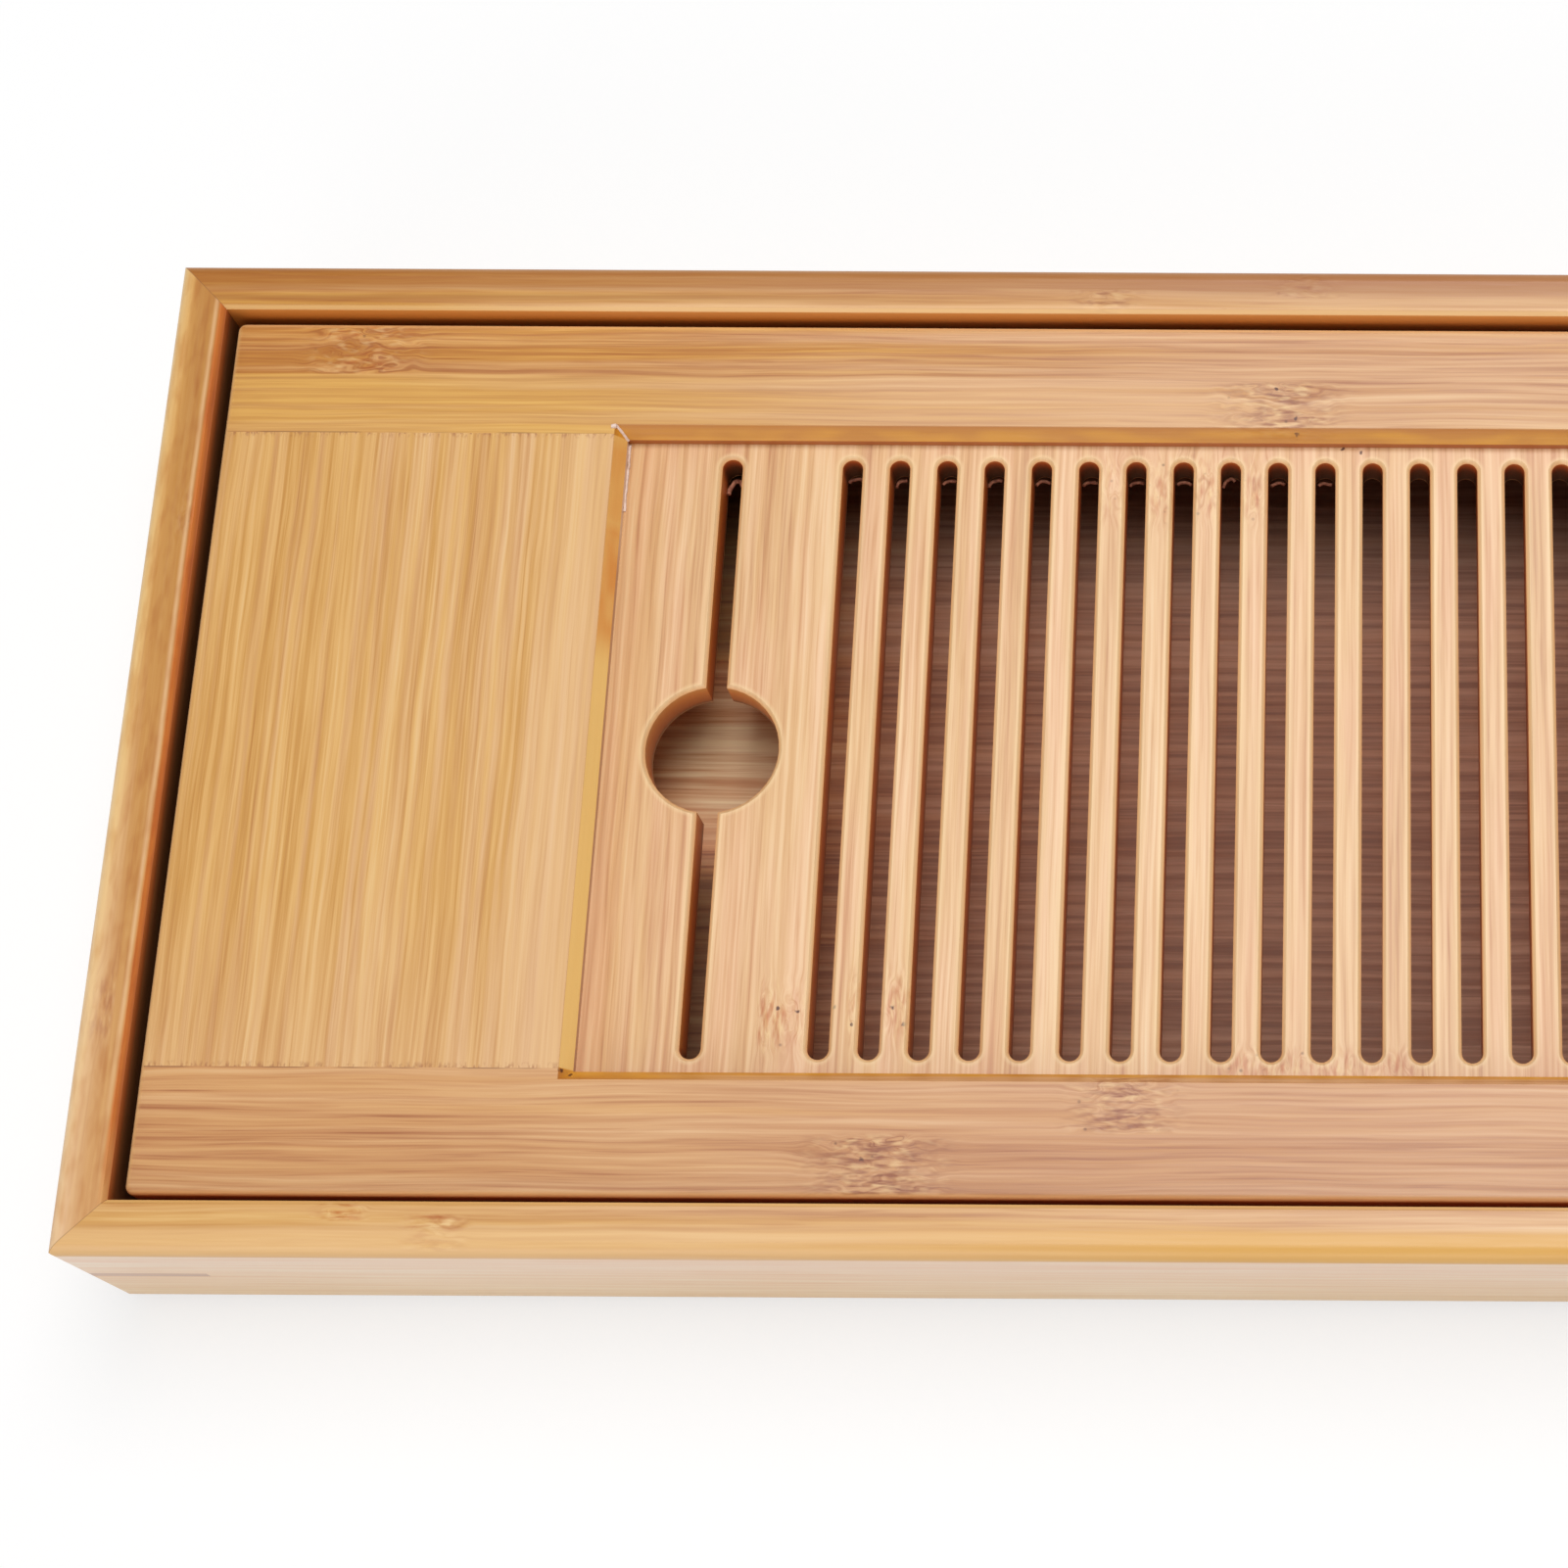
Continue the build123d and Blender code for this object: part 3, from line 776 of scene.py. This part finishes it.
def burr_tree():
    """A row of slots, each with a thread of torn fibre round the lower edge of its back end."""
    nodes, given, result = new_growth("slot_burrs", [
        ("Count", "NodeSocketInt"), ("First slot", VECTOR), ("Pitch", VALUE), ("Bend radius", VALUE),
        ("Stretch", VALUE), ("Thickness", VALUE), ("Seed", "NodeSocketInt"),
        ("Material", "NodeSocketMaterial")])
    row = nodes.add("GeometryNodeMeshLine", mode="OFFSET")
    nodes.feed(row.inputs["Count"], given["Count"])
    nodes.feed(row.inputs["Start Location"], given["First slot"])
    nodes.feed(row.inputs["Offset"], nodes.vector(given["Pitch"], 0.0, 0.0))
    arc = nodes.add("GeometryNodeCurveArc", mode="RADIUS")
    arc.inputs["Resolution"].default_value = 10
    nodes.feed(arc.inputs["Radius"], given["Bend radius"])
    arc.inputs["Start Angle"].default_value = math.radians(45)
    arc.inputs["Sweep Angle"].default_value = math.radians(120)
    threads = nodes.add("GeometryNodeInstanceOnPoints")
    nodes.feed(threads.inputs["Points"], row.outputs[0])
    nodes.feed(threads.inputs["Instance"], arc.outputs[0])
    tilt = random_between(nodes, -0.35, 0.1, given["Seed"])
    turn = random_between(nodes, -0.45, 0.45, nodes.plus(given["Seed"], 1))
    nodes.feed(threads.inputs["Rotation"], nodes.vector(tilt, 0.0, turn))
    depth = nodes.times(random_between(nodes, 0.5, 1.0, nodes.plus(given["Seed"], 2)), given["Stretch"])
    nodes.feed(threads.inputs["Scale"], nodes.vector(1.0, depth, 1.0))
    # Realized before the shift too, so that each thread is torn in its own way
    torn = moved(nodes, realized(nodes, threads.outputs[0]), given["Seed"], 0.0012, 0.0007)
    nodes.feed(result, finished(nodes, swept(nodes, torn, given["Thickness"]), given["Material"]))
    return nodes.tree


def glue_tree():
    """A thread of dried glue from one point to another."""
    nodes, given, result = new_growth("glue_line", [
        ("Start", VECTOR), ("End", VECTOR), ("Thickness", VALUE), ("Seed", VALUE),
        ("Material", "NodeSocketMaterial")])
    line = nodes.add("GeometryNodeCurvePrimitiveLine")
    nodes.feed(line.inputs["Start"], given["Start"])
    nodes.feed(line.inputs["End"], given["End"])
    points = nodes.add("GeometryNodeResampleCurve")
    nodes.feed(points.inputs["Curve"], line.outputs[0])
    points.inputs["Count"].default_value = 24
    wavy = moved(nodes, points.outputs[0], given["Seed"], 0.003, 0.0003)
    lumpy = moved(nodes, swept(nodes, wavy, given["Thickness"]), given["Seed"], 0.001, 0.0003)
    nodes.feed(result, finished(nodes, lumpy, given["Material"]))
    return nodes.tree


def set_camera():
    """The photograph's view: from above and in front, with the tray running out of the right side."""
    # Fitted to the rims, the rails, the recess and the slots in the photograph
    place = Vector((-0.0048, -0.1547, 0.4580))
    pitch, yaw, roll = math.radians(70.79), math.radians(-0.08), math.radians(-0.23)
    look = Vector((math.sin(yaw) * math.cos(pitch), math.cos(yaw) * math.cos(pitch), -math.sin(pitch)))
    level = Vector((math.cos(yaw), -math.sin(yaw), 0))
    below = look.cross(level)
    across = level * math.cos(roll) + below * math.sin(roll)
    down = below * math.cos(roll) - level * math.sin(roll)
    camera = bpy.data.objects.new("camera", bpy.data.cameras.new("camera"))
    camera.matrix_world = Matrix((across, -down, -look)).transposed().to_4x4()
    camera.matrix_world.translation = place
    camera.data.sensor_width = 36.0
    camera.data.lens = 73.15
    camera.data.shift_x = -0.3528
    camera.data.clip_start = 0.01
    bpy.context.collection.objects.link(camera)
    bpy.context.scene.camera = camera


def soft_light(name, place, size, power):
    """A rectangular lamp of this width and height, which points at the tray."""
    data = bpy.data.lights.new(name, "AREA")
    data.shape = "RECTANGLE"
    data.size, data.size_y = size
    data.energy = power
    lamp = bpy.data.objects.new(name, data)
    lamp.location = place
    lamp.rotation_euler = (-Vector(place)).to_track_quat("-Z", "Y").to_euler()
    bpy.context.collection.objects.link(lamp)


def pale_floor():
    """A plain white floor that keeps a soft shadow, a little brighter to the camera than to the tray."""
    bpy.ops.mesh.primitive_plane_add(size=12)
    floor = bpy.context.object
    floor.name = "floor"
    material, nodes, surface = new_material("pale_floor")
    seen = nodes.add("ShaderNodeLightPath").outputs["Is Camera Ray"]
    nodes.feed(surface.inputs["Base Color"], nodes.mix(seen, grey(0.78), grey(0.38)))
    surface.inputs["Roughness"].default_value = 1.0
    surface.inputs["Specular IOR Level"].default_value = 0.0
    surface.inputs["Emission Color"].default_value = grey(1.0)
    nodes.feed(surface.inputs["Emission Strength"], nodes.times(seen, 0.64))
    floor.data.materials.append(material)


def set_light():
    """Plain soft studio light: a long box behind and above, a weak one in front, and a pale room."""
    world = bpy.data.worlds.new("studio")
    bpy.context.scene.world = world
    world.use_nodes = True
    nodes = Nodes(world.node_tree)
    backdrop = world.node_tree.nodes["Background"]
    backdrop.inputs["Color"].default_value = grey(1.0)
    # The camera sees the room brighter than it shines on the tray
    seen = nodes.add("ShaderNodeLightPath").outputs["Is Camera Ray"]
    nodes.feed(backdrop.inputs["Strength"], nodes.plus(nodes.times(seen, 0.56), 0.42))
    soft_light("top_softbox", (0.12, 0.42, 1.5), (0.7, 1.2), 13)
    soft_light("front_softbox", (-0.4, -1.3, 0.5), (1.4, 0.8), 6)


# Bands along the rim's top: from, to and softness in millimetres from the outer face, colour, share,
# and for some the place along the wall where they start to show and where they show in full
# Pale outer and inner edge bands are painted highlights; the side walls' dark inner bands are partly painted
# shade.
FRONT_BANDS = [
    (-1, 3.6, 0.4, (240, 194, 134), 0.62),
    (3.5, 4.0, 0.3, (190, 132, 84), 0.25),
    (-1, 4.1, 0.5, (228, 170, 68), 0.68, -90, -20),
]
BACK_BANDS = [
    (-1, 4.2, 0.4, (170, 100, 20), 0.64),
    (5.0, 5.9, 0.3, (150, 84, 30), 0.5, -60, -100),
    (4.5, 8.0, 0.4, (200, 138, 56), 0.3),
    (-1, 3.0, 0.6, (176, 104, 48), 0.3, -50, 0),
    (1.0, 4.8, 0.5, (176, 112, 64), 0.35, -66, -20),
    (6.6, 8.0, 0.3, (255, 208, 154), 0.6, -140, -110),
]
SIDE_BANDS = [
    (-1, 0.6, 0.4, (255, 220, 172), 0.7),
    (-1, 2.0, 0.6, (252, 214, 148), 0.75),
    (2.2, 5.6, 0.8, (200, 136, 66), 0.4),
    (2.6, 7.4, 0.8, (200, 138, 40), 0.4, -40, 50),
    (0.8, 2.8, 0.6, (232, 176, 92), 0.35, -40, 50),
    (3.0, 7.4, 0.8, (176, 106, 34), 0.35, -20, 60),
    (-1, 3.4, 1.2, (248, 208, 164), 0.7, 0, -70),
    (3.6, 7.4, 0.8, (228, 176, 130), 0.35, -20, -70),
    (5.8, 6.3, 0.2, (250, 206, 156), 0.5, -64, -40),
    (6.5, 8.0, 0.2, (212, 114, 30), 0.9, -70, -56),
    (7.1, 8.0, 0.2, (140, 60, 10), 0.5, -70, -56),
]

# Knuckles: along the fibres, across them, reach and width, in millimetres
FRONT_WALL_KNUCKLES = [(-139, -68.6, 5, 1.4), (-126, -71.4, 6, 2.6)]
BACK_WALL_KNUCKLES = [(-39.7, 68.6, 7, 2.4), (-9.9, 71.8, 7, 2.4)]
LEFT_WALL_KNUCKLES = [(-40.8, -175.2, 8, 2.2), (34, -172.4, 6, 1.5)]
RIGHT_WALL_KNUCKLES = [(22.0, 174.5, 8, 2.2)]
FRONT_RAIL_KNUCKLES = [(-67.5, -61.4, 14, 4.6), (-34, -52.4, 11, 4.6)]
BACK_RAIL_KNUCKLES = [(-150, 61.8, 12, 4.4), (-14, 52.6, 13, 4.6)]
PANEL_KNUCKLES = [(41, -28, 8, 14), (-40, -82, 8, 4), (-38.5, -68.5, 8, 5), (-46.4, -7, 4, 15)]

# Pits: the place of each on the lid, in millimetres
FRONT_PITS = [(-111.6, -48.2), (-110.4, -48.6), (-69.5, -60.5)]
BACK_PITS = [(-14.3, 55.8), (-11.5, 51.1), (-11.3, 48.8)]
PANEL_PITS = [(-82.9, -38.5), (-80.1, -39.0), (-75.0, -38.2), (-72.5, -40.7),
              (-66.8, -38.2), (-65.2, -40.7), (-4.4, 47.7), (-1.8, 47.2)]


def dress_frame():
    """Dress the walls, the ledge strips, the bottom board, the mitre keys and the feet."""
    for name, along, left, bands, knuckles, seed in (
            ("front", "X", "honey", FRONT_BANDS, FRONT_WALL_KNUCKLES, 3.0),
            ("back", "X", "amber", BACK_BANDS, BACK_WALL_KNUCKLES, 41.0),
            ("left", "Y", "honey", SIDE_BANDS, LEFT_WALL_KNUCKLES, 17.0),
            ("right", "Y", "honey", SIDE_BANDS, RIGHT_WALL_KNUCKLES, 67.0)):
        wall, ledge = name + "_wall", name + "_ledge"
        dress(wall, wall_finish(wall, along, left, bands, knuckles, seed))
        dress(ledge, ledge_finish(ledge, along, seed + 20.0))
    dress("bottom_board", board_finish())
    key_bamboo, rubber = key_finish(), rubber_finish()
    for end in ("front", "back"):
        for side in ("left", "right"):
            dress(f"{end}_{side}_mitre_key", key_bamboo)
            dress(f"{end}_{side}_foot", rubber)


def dress_lid():
    """Dress the rails, the end panels and the slotted panel."""
    dress("back_rail", rail_finish("back_rail", "amber", 7.6, BACK_RAIL_KNUCKLES, BACK_PITS, 33.6))
    dress("front_rail", rail_finish("front_rail", "rosy", 9.3, FRONT_RAIL_KNUCKLES, FRONT_PITS, 75.6))
    for name, seed in (("left_end_panel", 11.0), ("right_end_panel", 53.0)):
        dress(name, end_panel_finish(name, seed))
    dress("slotted_panel", slotted_finish(PANEL_KNUCKLES, PANEL_PITS))


def tear_slots():
    """Fibres that the cutter left torn in the back ends of the first slots and of the finger slot."""
    torn_fibre = plain_finish("torn_fibre", (120, 62, 40), (206, 140, 108), 0.6, 0.6)
    tree = burr_tree()
    first_slot = (-SLOTS_EACH_SIDE * PITCH, SLOT_STRAIGHT - 0.35, LID_BOTTOM + 0.7)
    finger_slot = (-FINGER_HOLE, 41.2, LID_BOTTOM + 1.9)
    for name, count, slot, stretch, thickness, seed in (
            ("slot_burrs", SLOTS_EACH_SIDE, first_slot, 1.0, 0.27, 4),
            ("finger_slot_burr", 1, finger_slot, 3.2, 0.36, 8)):
        torn = grown(name, tree, {
            "Count": count, "First slot": Vector(slot) / TO_MM, "Pitch": PITCH / TO_MM,
            "Bend radius": 1.2 / TO_MM, "Stretch": stretch, "Thickness": thickness / TO_MM,
            "Seed": seed}, torn_fibre, "lid")


def squeeze_glue():
    """Glue that dried in the recess's left back corner: a bead, one down the mitre, one along the foot."""
    dried_glue = plain_finish("dried_glue", (216, 182, 160), (250, 226, 214), 0.8, 0.35)
    tree = glue_tree()
    corner_top = Vector((-RECESS_EDGE - 1.5, RAIL_EDGE + 1.5, LID_TOP - 0.1)) / TO_MM
    corner_foot = Vector((-RECESS_EDGE + 0.1, RAIL_EDGE - 0.1, PANEL_TOP + 1.2)) / TO_MM
    foot_back = Vector((0.15 - RECESS_EDGE, RAIL_EDGE - 0.4, PANEL_TOP + 0.1)) / TO_MM
    foot_front = Vector((0.15 - RECESS_EDGE, 37.0, PANEL_TOP + 0.1)) / TO_MM
    bead_start = corner_top + Vector((-0.6, -0.3, 0.05)) / TO_MM
    bead_end = corner_top + Vector((0.1, -0.2, 0.0)) / TO_MM
    for name, start, end, thickness in (
            ("glue_bead", bead_start, bead_end, 0.4),
            ("mitre_glue", corner_top, corner_foot, 0.26),
            ("foot_glue", foot_back, foot_front, 0.22)):
        grown(name, tree, {
            "Start": start, "End": end, "Thickness": thickness / TO_MM, "Seed": 2.0}, dried_glue, "lid")


set_camera()
pale_floor()
set_light()
dress_frame()
dress_lid()
tear_slots()
squeeze_glue()

bpy.context.scene.view_settings.view_transform = "Standard"
